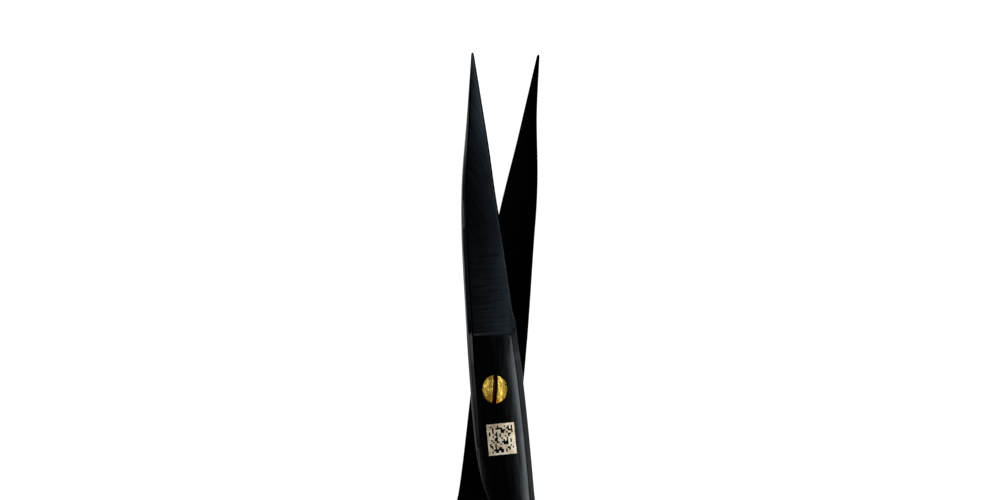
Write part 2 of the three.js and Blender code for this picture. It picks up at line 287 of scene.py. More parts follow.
def spread(tree, factor, low, high):
    """A value that runs from low to high with a noise."""
    return node(tree, "MapRange", {"Value": factor, "From Min": NOISE_LOW, "From Max": NOISE_HIGH,
                                   "To Min": low, "To Max": high}).outputs["Result"]


def bumped(tree, shader, height, strength, distance):
    made = node(tree, "Bump", {"Height": height, "Strength": strength, "Distance": distance * MM})
    tree.links.new(made.outputs["Normal"], shader.inputs["Normal"])


def worn(tree, colour, edge_colour, amount):
    """Lightens a colour where edges stand out."""
    point = node(tree, "NewGeometry").outputs["Pointiness"]
    edge = node(tree, "MapRange", {"Value": point, "From Min": EDGE_LOW, "From Max": EDGE_HIGH,
                                   "To Max": amount})
    return node(tree, "MixRGB", {"Fac": edge.outputs["Result"], "Color1": colour,
                                 "Color2": (*edge_colour, 1)}).outputs["Color"]


def straight_lines(tree, turn):
    """Object coordinates turned so that lines drawn out along X run at an angle in degrees."""
    place = node(tree, "TexCoord").outputs["Object"]
    return node(tree, "Mapping", {"Vector": place,
                                  "Rotation": (0, 0, -math.radians(turn))}).outputs["Vector"]


def along_blade(tree, low, high):
    """0 at low and 1 at high, in millimetres along the object's Y axis."""
    place = node(tree, "SeparateXYZ", {"Vector": node(tree, "TexCoord").outputs["Object"]})
    return node(tree, "MapRange", {"Value": place.outputs["Y"], "From Min": low * MM,
                                   "From Max": high * MM}).outputs["Result"]


def line_noise(tree, turns, scale, detail):
    """Noise in lines at turns[0] degrees, which give way to lines at turns[1] along the blade."""
    root, tip = (drawn_noise(tree, straight_lines(tree, turn), scale, detail) for turn in turns)
    share = along_blade(tree, LINES_TURN_FROM, LINES_TURN_TO)
    return node(tree, "MixRGB", {"Fac": share, "Color1": root, "Color2": tip}).outputs["Color"]


def tinted(tree, colour, painted_shades):
    """A colour darkened by a shade from 0 to 1."""
    return node(tree, "MixRGB", {"Fac": 1.0, "Color1": colour, "Color2": painted_shades},
                blend_type="MULTIPLY").outputs["Color"]


def black_steel(name, turns, dark, light, rough, bump, painted_shades=((0, 1.0), (1, 1.0))):
    """Coated black steel with grinding lines at turns degrees. The last argument is painted shade, a
    darkening of the colour that runs from the blade's root to its tip."""
    material, tree, shader = base_material(name, Metallic=1.0)
    fine = line_noise(tree, turns, FINE_LINES, 5)
    coarse = line_noise(tree, turns, COARSE_LINES, 3)
    cloud = drawn_noise(tree, node(tree, "TexCoord").outputs["Object"], STEEL_CLOUDS, 3)
    tint = ramp(tree, cloud, (NOISE_LOW, dark), (NOISE_HIGH, light))
    tint = tinted(tree, tint, spread(tree, fine, 0.86, 1.13))
    # Painted shade: the colour is darkened along the blade by a ramp.
    tint = tinted(tree, tint, ramp(tree, along_blade(tree, PAINTED_SHADE_FROM, PAINTED_SHADE_TO), *painted_shades))
    tree.links.new(worn(tree, tint, WORN_STEEL, 0.6), shader.inputs["Base Color"])
    tree.links.new(spread(tree, coarse, *rough), shader.inputs["Roughness"])
    both = node(tree, "Math", {0: coarse, 1: 0.35, 2: fine}, operation="MULTIPLY_ADD").outputs["Value"]
    bumped(tree, shader, both, bump, 0.004)
    return material


def gold_metal(name, dark, light, shade_colour, rough):
    """Polished gold-coloured metal, with painted shade towards the object's -Y side."""
    material, tree, shader = base_material(name, Metallic=1.0)
    place = node(tree, "TexCoord").outputs["Object"]
    cloud = drawn_noise(tree, place, GOLD_CLOUDS)
    grain = drawn_noise(tree, place, GOLD_GRAIN)
    # Painted shade: the colour is mixed towards a darker orange-brown on the -Y side.
    side = node(tree, "SeparateXYZ", {"Vector": place}).outputs["Y"]
    shaded = node(tree, "MapRange", {"Value": side, "From Min": GOLD_SHADE_FROM * MM, "From Max": GOLD_SHADE_TO * MM,
                                      "To Max": GOLD_SHADE_SHARE}).outputs["Result"]
    unshaded = ramp(tree, cloud, (NOISE_LOW, dark), (0.62, light))
    colour = node(tree, "MixRGB", {"Fac": shaded, "Color1": unshaded, "Color2": (*shade_colour, 1)}).outputs["Color"]
    tree.links.new(colour, shader.inputs["Base Color"])
    tree.links.new(spread(tree, cloud, rough[1], rough[0]), shader.inputs["Roughness"])
    both = node(tree, "Math", {0: grain, 1: cloud}, operation="ADD").outputs["Value"]
    bumped(tree, shader, both, 0.8, 0.08)
    return material


def soft_rubber(name):
    """Matt black rubber with a fine grain."""
    material, tree, shader = base_material(name, Metallic=0.0)
    place = node(tree, "TexCoord").outputs["Object"]
    grain = drawn_noise(tree, place, (3000, 3000, 3000))
    cloud = drawn_noise(tree, place, (220, 220, 220))
    tint = ramp(tree, cloud, (NOISE_LOW, (0.012, 0.0125, 0.014)), (NOISE_HIGH, (0.022, 0.023, 0.025)))
    tree.links.new(tint, shader.inputs["Base Color"])
    tree.links.new(spread(tree, cloud, 0.5, 0.68), shader.inputs["Roughness"])
    bumped(tree, shader, grain, 0.3, 0.02)
    return material


def plain_finish(name, dark, light, metallic, rough):
    """A faintly clouded and grained finish."""
    material, tree, shader = base_material(name, Metallic=metallic)
    place = node(tree, "TexCoord").outputs["Object"]
    cloud = drawn_noise(tree, place, (900, 900, 900))
    grain = drawn_noise(tree, place, (6000, 6000, 6000))
    tint = ramp(tree, cloud, (NOISE_LOW, dark), (NOISE_HIGH, light))
    tree.links.new(tint, shader.inputs["Base Color"])
    tree.links.new(spread(tree, cloud, *rough), shader.inputs["Roughness"])
    bumped(tree, shader, grain, 0.2, 0.005)
    return material


# The ground face is darkened along the blade, most in its middle: painted shade.
GROUND_STEEL = black_steel("steel_ground_face", (4, -63), (0.0118, 0.0146, 0.0175),
                           (0.0198, 0.0244, 0.0288), (0.24, 0.36), 0.13,
                           ((0.0, 0.88), (0.22, 0.72), (0.4, 0.4), (0.56, 0.42), (0.75, 0.74),
                            (0.95, 1.0)))
BODY_STEEL = black_steel("steel_brushed_body", (90, 90), (0.015, 0.0155, 0.0165),
                         (0.021, 0.022, 0.0225), (0.15, 0.26), 0.4)
# A darker copy of the steel for the inner faces and the crest groove: painted shade.
SHADED_INNER_STEEL = black_steel("steel_inner_face_painted_shade", (35, 35), (0.003, 0.0033, 0.0036),
                          (0.006, 0.0063, 0.0066), (0.18, 0.26), 0.3)
STEELS = [GROUND_STEEL, BODY_STEEL, SHADED_INNER_STEEL]
# The screw's head and the nut darken towards -Y: painted shade.
GOLD = gold_metal("gold_polished_painted_shade", (0.33, 0.17, 0.016), (0.8, 0.56, 0.11), (0.36, 0.11, 0.004),
                  (0.22, 0.38))
# A darker copy of the gold for the faces inside the screw's slot: painted shade.
SHADED_SLOT_GOLD = gold_metal("gold_in_slot_painted_shade", (0.02, 0.005, 0.002), (0.07, 0.018, 0.006),
                       (0.06, 0.012, 0.004), (0.4, 0.6))
RUBBER = soft_rubber("soft_black_rubber")
WASHER = plain_finish("washer_plastic", (0.7, 0.69, 0.65), (0.8, 0.79, 0.75), 0.0, (0.4, 0.55))
SPRING = plain_finish("spring_steel", (0.38, 0.4, 0.42), (0.5, 0.52, 0.54), 1.0, (0.25, 0.4))
MARK = plain_finish("laser_mark", (0.6, 0.45, 0.28), (1.0, 0.89, 0.71), 0.68, (0.4, 0.5))


# ------------------------------------------------------------------------------------------------
# One half: blade, crowned body, shank and finger ring. y is the distance from the pivot towards the tip.

FLOOR_LIFT = -29  # below this the floor leaves the plane where the halves meet
INNER_END = -27  # above this the floor has the inner faces' darker steel: painted shade

spine_line = curve_through(
    (BLADE_REACH, -0.2), (46, -1.25), (34, -2.94), (29, -3.34), (13, -4.01), (4, -4.26), (-8, -4.38),
    (-14, -4.1), (-18, -3.3), (-22, -1.8), (-26, -0.3), (-30, 0.9), (-36, 2.3), (-42, 3.6))
edge_line = curve_through(
    (BLADE_REACH, 0.22), (46, 1.15), (34, 2.31), (22, 3.38), (13, 3.87), (-2, 4.38), (-17, 4.53),
    (-24, 5.3), (-30, 6.3), (-36, 7.4), (-42, 8.7))
spine_sway = curve_through(
    (BLADE_REACH, 0), (44, -0.27), (27, -0.29), (13, 0), (-8, 0.46), (-17, 0.7), (-34, 0.4), (-50, 0))
edge_sway = curve_through(
    (BLADE_REACH, 0), (42, -0.03), (30, -0.25), (13, 0), (1, 0.43), (-17, 0.8), (-34, 0.4), (-50, 0))

blade_spine = curve_through((BLADE_REACH, 0.5), (40, 1.15), (22, 1.55), (GRIND_END, 1.75))
blade_edge = curve_through((BLADE_REACH, 0.43), (40, 0.72), (22, 1.0), (GRIND_END, 1.15))
body_shoulder = curve_through((GRIND_END, 1.85), (4, 2), (-24, 2), (-36, 1.5), (-50, 1.1))
body_crown = curve_through((GRIND_END, 0.28), (3, 0.45), (-24, 0.45), (-36, 0.95), (-50, 1.4))
floor_height = curve_through((FLOOR_LIFT, RIDE_GAP), (-34, -0.9), (-40, -2), (-47, -2.5))
bevel_width = curve_through(
    (BLADE_REACH, 0.08), (44, 0.35), (28, 0.75), (13, 0.9), (0, 0.88), (-20, 0.76), (-34, 1.4),
    (-50, 1.5))
floor_bevel = curve_through((-20, 0.05), (-34, 1), (-50, 1.4))
corner_cut = curve_through((BLADE_REACH, 0.03), (30, 0.09), (-20, 0.12), (-34, 0.7), (-42, 0.9))
hollow_depth = curve_through((52, 0), (40, 0.08), (20, 0.14), (13, 0.12), (9, 0))

WALL_SHARE = 0.55  # height of the side walls, of the height at the shoulder
HONE_WIDTH = 0.26  # width of the cutting edge's sharp bevel
HONE_SLOPE = 0.7  # how far it falls over its width
EDGE_LAND = 0.08  # height of the cutting edge's narrow wall
TIP_ROUND = 0.3
TIP_LEAST = 0.002  # keeps the tip's last section open
RUNOUT = 0.4  # length of the fillet where the ground face ends at the body
HONED_FROM = 15  # above this the cutting edge has its full sharp bevel
CORNER_REACH = 2.5  # how far the ground face's rounded corner climbs the cutting edge
CORNER_WIDTH = 1.3
CORNER_SWEEP = 0.93  # how much of a quarter circle the corner covers
CORNER_FADE = 1.4  # how far below the step the rows still lie along it
STEP_SLANT = 0.067  # how far the step at the ground face's end moves along the blade, across it
FACE_BULGE = 0.016  # how far the ground face bulges, over the half's width
HOLLOW_SHARE = 0.86  # how much of the floor's width is hollow-ground
FALL_SHARES = (0.28, 0.44, 0.6, 0.76)  # places of the points between the top and the edge wall
KNEE_ACROSS = (0.46, 0.28)  # place of the spine bevel's knee across it, on the body and on the blade
KNEE_UP = (0.6, 0.76)  # and its place between the wall and the crest
KNEE_CHANGE = 0.6  # length over which the knee moves from one to the other
KNEE_GROOVE = 0.09  # half the width of the fine groove along the knee
CREST_DEPTH = 0.18  # depth of the groove along the crest
CREST_NEAR, CREST_FAR, CREST_END = 0.04, 0.19, 0.25  # places of its corners, from the crest
CREST_LEAST = 0.04  # a shallower groove is left out
GROOVE_END = 2  # the groove has its darker steel, painted shade, and its full depth above this
CROWN_POINTS = 20
SIDE_POINTS = 5 * CORNER_POINTS
SECTION_POINTS = 2 * (SIDE_POINTS + CROWN_POINTS)
GROUND, BODY, SHADED_INNER = 0, 1, 2

groove_depth = curve_through((32, 0), (22, 0.1), (0, 0.12), (-9, 0.06), (-14, 0))
crest_groove = curve_through((54, 0), (48, 1), (GROOVE_END, 1), (-9, 0))


def ground_share(y):
    """0 where the body is left whole, 1 where it is ground away, and between them in the fillet."""
    t = min(max((y - GRIND_END) / RUNOUT, 0), 1)
    return t * (2 - t)


def row_shift(x, y, edge):
    """How far a row's points move along the blade, so that rows lie along the ground face's end."""
    past = max(x - (edge - CORNER_WIDTH), 0) / CORNER_WIDTH
    corner = CORNER_REACH * (1 - math.sqrt(1 - (CORNER_SWEEP * past) ** 2))
    below = smooth_step(y, GRIND_END - CORNER_FADE, GRIND_END)
    above = smooth_step(y, GRIND_END + RUNOUT, HONED_FROM)
    return float(below * (1 - above)) * (corner - STEP_SLANT * x)


class Section:
    """One half's cross-section at y. Its heights are from the plane where the halves meet."""

    def __init__(self, y, sway):
        spine = float(spine_line(y) + sway * spine_sway(y))
        edge = float(edge_line(y) + sway * edge_sway(y))
        past = max((y - BLADE_REACH + TIP_ROUND) / TIP_ROUND, 0)
        tip = math.sqrt(max(1 - past**2, TIP_LEAST))
        self.y = y
        self.tip = tip  # how much of the full width the rounded tip leaves
        self.middle = (spine + edge) / 2
        self.spine = mix(self.middle, spine, tip)
        self.edge = mix(self.middle, edge, tip)
        self.floor = RIDE_GAP if y > FLOOR_LIFT else float(floor_height(y))
        self.floor_bevel = float(floor_bevel(y)) * tip
        self.soft = float(corner_cut(y))
        self.floor_soft = min(0.3 * self.floor_bevel + 0.02, self.soft)
        self.wide = float(bevel_width(y)) * tip
        self.left = self.spine + self.wide
        self.crown_end = self.edge - self.wide
        self.shoulder = float(body_shoulder(y))
        self.rise = float(body_crown(y))
        self.wall = WALL_SHARE * self.shoulder
        self.high = float(blade_spine(y)) * mix(0.5, 1, tip)
        self.thin = float(blade_edge(y)) * mix(0.5, 1, tip)
        self.share = ground_share(y)
        self.honed = float(smooth_step(y, GRIND_END + RUNOUT, HONED_FROM))
        self.hone_width = min(HONE_WIDTH, (self.edge - self.spine) / 4)
        self.body_turn = self.edge - mix(self.wide, self.bevel_left(), self.share)
        self.turn = mix(self.body_turn, self.edge - self.hone_width, self.honed)

    def bevel_left(self):
        """How much of the body's bevel width the ground face leaves."""
        bevel_slope = (self.shoulder - self.wall) / self.wide
        face_slope = (self.high - self.thin) / (self.edge - self.left)
        drop = max(self.shoulder - self.ground(self.crown_end), 0)
        return max(self.wide - drop / (bevel_slope - face_slope), 0.1 * self.wide)

    def ground(self, x):
        """Height of the ground face, which bulges a little."""
        u = (x - self.left) / (self.edge - self.left)
        bulge = FACE_BULGE * (self.edge - self.spine) * 4 * u * (1 - u)
        return mix(self.high, self.thin, u) + bulge

    def body(self, x):
        """Height of the whole body: its crown, and its bevel on the edge side."""
        if x > self.crown_end:
            return mix(self.shoulder, self.wall, (x - self.crown_end) / self.wide)
        u = (x - self.left) / (self.crown_end - self.left) * 2 - 1
        return self.shoulder + self.rise * (1 - u * u)

    def cut_body(self, x):
        """A point of the body after the ground face has been cut into it."""
        body = self.body(x)
        return np.array([x, body - max(body - self.ground(x), 0) * self.share])

    def top(self, x):
        """A point of the outer face: the ground face along the blade, the cut body below it."""
        return mix(self.cut_body(x), np.array([x, self.ground(x)]), self.honed)

    def bottom(self, x):
        """A point of the floor, which is hollow-ground along the blade."""
        u = (x - self.middle) / (self.edge - self.spine) * 2
        hollow = float(hollow_depth(self.y)) if self.y > GRIND_END else 0
        return np.array([x, self.floor + hollow * max(1 - (u / HOLLOW_SHARE) ** 2, 0)])

    def floor_corners(self):
        """Corners of the floor's bevels, from the edge side to the spine side."""
        low = self.floor_bevel
        return [np.array(corner) for corner in (
            (self.edge, self.floor + low), (self.edge - low, self.floor),
            (self.spine + low, self.floor), (self.spine, self.floor + low))]

    def spine_side(self):
        """Points up the spine side: floor bevel, wall, knee with its fine groove, and crest."""
        crest = self.top(self.left)
        foot = np.array([self.spine, WALL_SHARE * crest[1]])
        on_blade = float(smooth_step(self.y, GRIND_END, GRIND_END + KNEE_CHANGE))
        knee = np.array([mix(self.spine, self.left, mix(*KNEE_ACROSS, on_blade)),
                         mix(foot[1], crest[1], mix(*KNEE_UP, on_blade))])
        rising, levelling = unit(knee - foot), unit(crest - knee)
        inward = np.array([levelling[1], -levelling[0]])
        width = min(KNEE_GROOVE, 0.3 * self.wide)
        points = round_corners([*self.floor_corners()[1:], foot, knee],
                               self.floor_soft, self.floor_soft, self.soft)
        points += [knee - width * rising, knee + float(groove_depth(self.y)) * self.tip * inward,
                   knee + width * levelling, mix(knee, crest, 0.6)]
        return points + self.crest_points(knee, crest, levelling)

    def crest_points(self, knee, crest, levelling):
        """Points over the crest: a groove along the blade and the upper body, and below it a corner."""
        sunk = float(crest_groove(self.y))
        if sunk > CREST_LEAST:
            depth = CREST_DEPTH * sunk * self.tip
            return [crest - 0.01 * levelling, crest + (CREST_NEAR * sunk, -depth),
                    crest + (CREST_FAR * sunk, -depth), self.top(self.left + CREST_END * sunk)]
        sharpness = max(float(smooth_step(-self.y, 8.5, 14)), 0.08) if self.y < 0 else 1
        return round_corners([mix(knee, crest, 0.6), crest, self.top(mix(self.left, self.turn, 0.2))],
                             self.soft * sharpness)

    def fall(self):
        """Points from the turn at the top down towards the edge wall."""
        hone_top = self.ground(self.edge - self.hone_width)
        points = []
        for t in FALL_SHARES:
            honed_point = np.array([self.edge - self.hone_width * (1 - 1.2 * t),
                                    hone_top - HONE_SLOPE * self.hone_width * t])
            body_point = self.cut_body(mix(self.body_turn, self.edge, t))
            points.append(mix(body_point, honed_point, self.honed))
        return points

    def edge_side(self):
        """Points down the edge side: the top's turn, the fall, the edge wall, and the floor bevel."""
        fall = self.fall()
        points = round_corners([self.top(mix(self.left, self.turn, 0.8)), self.top(self.turn), fall[0]],
                               self.soft * mix(1, 0.2, self.share))
        wall_top = np.array([self.edge, mix(self.wall, RIDE_GAP + EDGE_LAND, self.honed)])
        return points + fall + round_corners([fall[-1], wall_top, *self.floor_corners()[:3]],
                                             self.soft * mix(1, 0.3, self.honed),
                                             self.floor_soft, self.floor_soft)

    def points(self):
        """Points all round: up the spine side, over the outer face, down, and back inside."""
        up, down = self.spine_side(), self.edge_side()
        over = [self.top(x) for x in np.linspace(up[-1][0], down[0][0], CROWN_POINTS + 2)[1:-1]]
        under = [self.bottom(x) for x in np.linspace(down[-1][0], up[0][0], CROWN_POINTS + 2)[1:-1]]
        return np.array([(x, self.y + row_shift(x, self.y, self.edge), z)
                         for x, z in up + over + down + under])


RING_STEPS = 112
RING_POINTS = 2 * SIDE_POINTS
PATCH_START = 29  # ring step where the shank's root begins, counted from +x
PATCH_STEPS = CROWN_POINTS
ROOT_ROWS = 24
FILLET_PULL = 9  # the fillets' reach beside the root

TIP_ROWS = 8
LONG_ROWS = 110  # rows along the blade, and as many along the body and shank
STEP_ROWS = 56
STEP_ABOVE, STEP_BELOW = 11.6, 8.4  # rows lie closer between these, over the ground face's end
SHANK_END = -42

# Faces round a section, counted from its first point.
CREST_FACES = range(SIDE_POINTS - 4, SIDE_POINTS - 1)
OUTER_FACES = range(SIDE_POINTS - 1, SIDE_POINTS + CROWN_POINTS)
FLOOR_FACES = range(SECTION_POINTS - CROWN_POINTS - 1, SECTION_POINTS)


def ring_point(angle, outside):
    """Plan point of the oval that lies a distance outside the ring's hole."""
    turn = np.array([math.cos(angle), math.sin(angle)])
    return RING_CENTRE + turn * RING_HOLE + unit(turn / RING_HOLE) * outside


def ring_section():
    """(distance outside the hole, height) points, from the middle of the top outwards and round."""
    flat = RING_WIDTH / 2 - RING_CORNER
    straight = SHEAR_HEIGHT - RING_CORNER
    quarter = [(flat + RING_CORNER * math.cos(a), straight + RING_CORNER * math.sin(a))
               for a in np.linspace(math.pi / 2, 0, 7)]
    outer = np.array([(0, SHEAR_HEIGHT), *quarter, *[(x, -z) for x, z in quarter[::-1]],
                      (0, -SHEAR_HEIGHT)])
    lengths = np.concatenate([[0], np.cumsum(np.linalg.norm(np.diff(outer, axis=0), axis=1))])
    even = np.linspace(0, lengths[-1], SIDE_POINTS + 1)
    outer = np.column_stack([np.interp(even, lengths, outer[:, axis]) for axis in (0, 1)])
    inner = outer[-2:0:-1] * (-1, 1)
    return np.vstack([outer, inner]) + (RING_WIDTH / 2, 0)


def ring_grid():
    """Points over the whole ring, by ring step and by place round the ring's section."""
    section = ring_section()
    angles = np.linspace(0, 2 * math.pi, RING_STEPS, endpoint=False)
    return np.array([[(*ring_point(a, d), z) for d, z in section] for a in angles])


def patch_loop():
    """Ring grid places round the shank's root, in the order of a section's points."""
    stop = PATCH_START + PATCH_STEPS
    loop = [(stop, j) for j in range(SIDE_POINTS, 0, -1)]
    loop += [(i, 0) for i in range(stop, PATCH_START, -1)]
    loop += [(PATCH_START, j) for j in range(SIDE_POINTS)]
    loop += [(i, SIDE_POINTS) for i in range(PATCH_START, stop)]
    return loop


def half_rows():
    """Places of the sections along one half, from the tip to the shank's end."""
    tip = BLADE_REACH - TIP_ROUND * (1 - np.sin(np.linspace(math.pi / 2, 0, TIP_ROWS)))
    blade = np.linspace(BLADE_REACH - TIP_ROUND, STEP_ABOVE, LONG_ROWS)[1:]
    step = np.linspace(STEP_ABOVE, STEP_BELOW, STEP_ROWS)[1:]
    body = np.linspace(STEP_BELOW, SHANK_END, LONG_ROWS)[1:]
    return np.concatenate([tip, blade, step, body])


def root_ways(grid, loop, chords):
    """How the shank's lines run into the ring: along it at the root's ends, where the fillets are,
    and straight on between them. Each way is as long as its pull on the line."""
    ways = []
    for (i, j), chord in zip(loop, chords):
        inside = min(i - PATCH_START, PATCH_START + PATCH_STEPS - i)
        weight = float(1 - smooth_step(inside, 0, 0.45 * PATCH_STEPS))
        out = 1 if i > PATCH_START + PATCH_STEPS / 2 else -1
        turning = unit(grid[(i + out) % RING_STEPS, j] - grid[i, j])
        gap = np.linalg.norm(chord)
        way = unit(mix(unit(chord * (1, 1, 0)), turning, weight))
        ways.append(way * mix(gap, min(gap, FILLET_PULL), weight))
    return np.array(ways)


def root_rows(before, starts, grid, loop):
    """Rows of points that carry the shank's last row smoothly into the ring."""
    ends = np.array([grid[place] for place in loop])
    leave = root_ways(grid, loop, ends - starts)
    arrive = starts - before
    arrive *= (np.linalg.norm(ends - starts, axis=1) / np.linalg.norm(arrive, axis=1))[:, None]
    rows = []
    for t in np.arange(1, ROOT_ROWS) / ROOT_ROWS:
        rows.append((1 + 2 * t) * (1 - t) ** 2 * starts + t * t * (3 - 2 * t) * ends
                    + t * (1 - t) ** 2 * arrive - t * t * (1 - t) * leave)
    return rows


def face_slot(place, y):
    """Material number of a face in the row at y, by its place round the section."""
    # The crest groove and the inner faces take the darker steel: painted shade.
    if place in CREST_FACES and y > GROOVE_END:
        return SHADED_INNER
    if place in OUTER_FACES and y > GRIND_END - 0.1:
        return GROUND
    if place in FLOOR_FACES and y > INNER_END:
        return SHADED_INNER
    return BODY


def ring_faces(first):
    """The ring's faces, without those that the shank's root covers."""
    faces = []
    for i in range(RING_STEPS):
        here, following = (first + row * RING_POINTS for row in (i, (i + 1) % RING_STEPS))
        for j in range(RING_POINTS):
            k = (j + 1) % RING_POINTS
            in_patch = PATCH_START <= i < PATCH_START + PATCH_STEPS and j < SIDE_POINTS
            if not in_patch:
                faces.append((here + j, here + k, following + k, following + j))
    return faces


def build_half(name, sway):
    """The whole half as one closed skin, in its own frame."""
    rows = half_rows()
    sections = [Section(y, sway).points() for y in rows]
    grid, loop = ring_grid(), patch_loop()
    sections += root_rows(sections[-2], sections[-1], grid, loop)
    vertices, faces = skin(sections, closed_ends=False)
    heights = [*rows, *[SHANK_END] * (ROOT_ROWS - 2)]
    slots = [face_slot(place, y) for y in heights for place in range(SECTION_POINTS)]
    first_ring = len(vertices)
    last_row = first_ring - SECTION_POINTS
    seam = [first_ring + i * RING_POINTS + j for i, j in loop]
    for i in range(SECTION_POINTS):
        k = (i + 1) % SECTION_POINTS
        faces.append((last_row + i, seam[i], seam[k], last_row + k))
    faces += ring_faces(first_ring)
    faces.append(tuple(range(SECTION_POINTS)))
    slots += [BODY] * (len(faces) - len(slots))
    return new_object(name, np.vstack([vertices, grid.reshape(-1, 3)]), faces, slots, STEELS)


FRONT_PLACE = (Matrix.Translation((0, 0, SHEAR_HEIGHT * MM))
               @ Matrix.Rotation(math.radians(OPEN_ANGLE / 2), 4, "Z"))
REAR_PLACE = (Matrix.Translation((0, 0, SHEAR_HEIGHT * MM))
              @ Matrix.Rotation(-math.radians(OPEN_ANGLE / 2), 4, "Z")
              @ Matrix.Rotation(math.pi, 4, "Y"))
PIVOT_PLACE = Matrix.Translation((0, 0, SHEAR_HEIGHT * MM))


def settle(obj, place, body, material=None, replaced=None, sharp_angle=32):
    """Shades a finished piece, gives it a material if one is given, puts it in place, attaches it to its
    body, and hides the frame's part that it replaces.
    """
    shade(obj, sharp_angle)
    if material:
        obj.data.materials.clear()
        obj.data.materials.append(material)
    obj.matrix_world = place
    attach(obj, body)
    if replaced:
        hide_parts(replaced)


HEAD_RADIUS = 2.3
HEAD_CONE = math.tan(math.radians(30))  # radius gained per height
HEAD_NECK = 1.85  # radius below the cone
HEAD_CROWN = 5.0  # radius of the head's crown
SLOT_WIDTH = 0.74
SLOT_FLOOR = 1.7
SLOT_TURN = -1.4  # degrees
SEAT_GAP = 0.15  # between the screw's head and its seat
FRONT_BORE = 1.6  # radius
REAR_BORE = 1.55
RECESS_RADIUS = 3.3
RECESS_DEPTH = 0.25
COUNTERBORE_RADIUS = 2.95
COUNTERBORE_FLOOR = 1.09
STEM_HOLE = 1.22  # radius of the holes for the bumper's stem and the finger rest's stud
BUMPER_HOLE = 1.82

REST_ANGLE = -62  # where the finger rest leaves the ring, in degrees round it
REST_REACH = 17
REST_STUD = 1.08  # radius of its stud
REST_BAR = 1.5  # radius of its bar
REST_TIP = 0.93  # where along the bar its rounded tip begins


def pivot_bore(radius, height):
    """Cutters for a half's pivot bore and for its share of the glide washer's recess."""
    bore = turned("bore", [(0, -1), (radius, -1), (radius, height), (0, height)])
    recess = turned("recess", [(0, -RECESS_DEPTH), (RECESS_RADIUS, -RECESS_DEPTH),
                               (RECESS_RADIUS, RECESS_DEPTH), (0, RECESS_DEPTH)])
    return bore, recess


def front_half():
    """The half that shows: its pivot bore opens into a countersunk seat for the screw's head."""
    obj = build_half("front_blade_and_ring", 1)
    rim, neck = HEAD_RADIUS + SEAT_GAP, HEAD_NECK + SEAT_GAP
    seat = turned("seat", [
        (0, 1), (neck, 1), (neck, CROWN_TOP - (rim - neck) / HEAD_CONE),
        (rim + 0.5 * HEAD_CONE, CROWN_TOP + 0.5), (0, CROWN_TOP + 0.5)])
    cut(obj, seat, *pivot_bore(FRONT_BORE, 2))
    return obj


def rest_route():
    """Plan points of the finger rest: where it leaves the ring, its bend, its tip, and the way out."""
    angle = math.radians(REST_ANGLE)
    collar = ring_point(angle, RING_WIDTH)
    away = unit(ring_point(angle, RING_WIDTH + 1) - collar)
    bend = collar + away * 0.55 * REST_REACH
    tip = bend + np.array([0.62, -0.18]) * REST_REACH
    return collar, bend, tip, away


def rear_half():
    """The half behind, with a counterbore for the nut and holes for the bumper and finger rest."""
    obj = build_half("rear_blade_and_ring", -1)
    counterbore = turned("counterbore", [
        (0, COUNTERBORE_FLOOR), (COUNTERBORE_RADIUS, COUNTERBORE_FLOOR), (COUNTERBORE_RADIUS, 4), (0, 4)])
    bore, recess = pivot_bore(REAR_BORE, 3)
    stem = pin("stem", (-2, BUMPER_Y, 0), (4.1, BUMPER_Y, 0), STEM_HOLE)
    head = pin("head", (-2, BUMPER_Y, 0), (2.1, BUMPER_Y, 0), BUMPER_HOLE)
    collar, _, _, away = rest_route()
    stud = pin("stud", (*(collar - away * 3), 0), (*(collar + away), 0), STEM_HOLE)
    cut(obj, counterbore, bore, recess, stem, head, stud)
    return obj


def screw_crown():
    """A long round bar along the front half. The screw's head is ground to its top."""
    height = CROWN_TOP - HEAD_CROWN
    cutter = pin("crown", (0, -8, height), (0, 8, height), HEAD_CROWN, 360)
    cutter.data.transform(Matrix.Rotation(math.radians(OPEN_ANGLE / 2), 4, "Z"))
    return cutter


def pivot_screw():
    """A countersunk screw with a crowned head. The faces inside its slot take a darker gold: painted shade.
    """
    over = CROWN_TOP + 0.12
    obj = turned("pivot_screw_turned", [
        (0, -2.1), (1.25, -2.1), (1.5, -1.85), (1.5, 1.05), (HEAD_NECK, 1.05),
        (HEAD_NECK, CROWN_TOP - (HEAD_RADIUS - HEAD_NECK) / HEAD_CONE),
        (HEAD_RADIUS + 0.12 * HEAD_CONE, over), (0, over)], 128, [GOLD, SHADED_SLOT_GOLD])
    cut(obj, screw_crown(), operation="INTERSECT")
    cut(obj, block("slot", (SLOT_WIDTH, 9, 2), (0, 0, SLOT_FLOOR + 1), SLOT_TURN))
    across = Vector((math.cos(math.radians(SLOT_TURN)), math.sin(math.radians(SLOT_TURN)), 0))
    lowest, highest = (SLOT_FLOOR - 0.01) * MM, (CROWN_TOP - 0.02) * MM
    # Faces inside the slot take the darker gold: painted shade.
    for face in obj.data.polygons:
        inside = abs(face.center.dot(across)) < (SLOT_WIDTH / 2 + 0.01) * MM
        if inside and lowest < face.center.z < highest:
            face.material_index = 1
    bevel(obj, 0.05, 30)
    return obj


def lock_nut():
    """A closed round nut with a turned ring and two slots for a key in its face."""
    face = -SHEAR_HEIGHT
    obj = turned("lock_nut_turned", [
        (0, face), (2.0, face), (2.05, face + 0.04), (2.12, face + 0.04), (2.17, face), (2.65, face),
        (2.76, face + 0.05), (2.85, face + 0.2), (2.85, face + 1.2), (1.55, face + 1.2),
        (1.55, face + 0.45), (0, face + 0.45)])
    cut(obj, *[block("slot", (0.8, 2, 1), (0, side * 2.95, face)) for side in (-1, 1)])
    bevel(obj, 0.04, 50)
    return obj


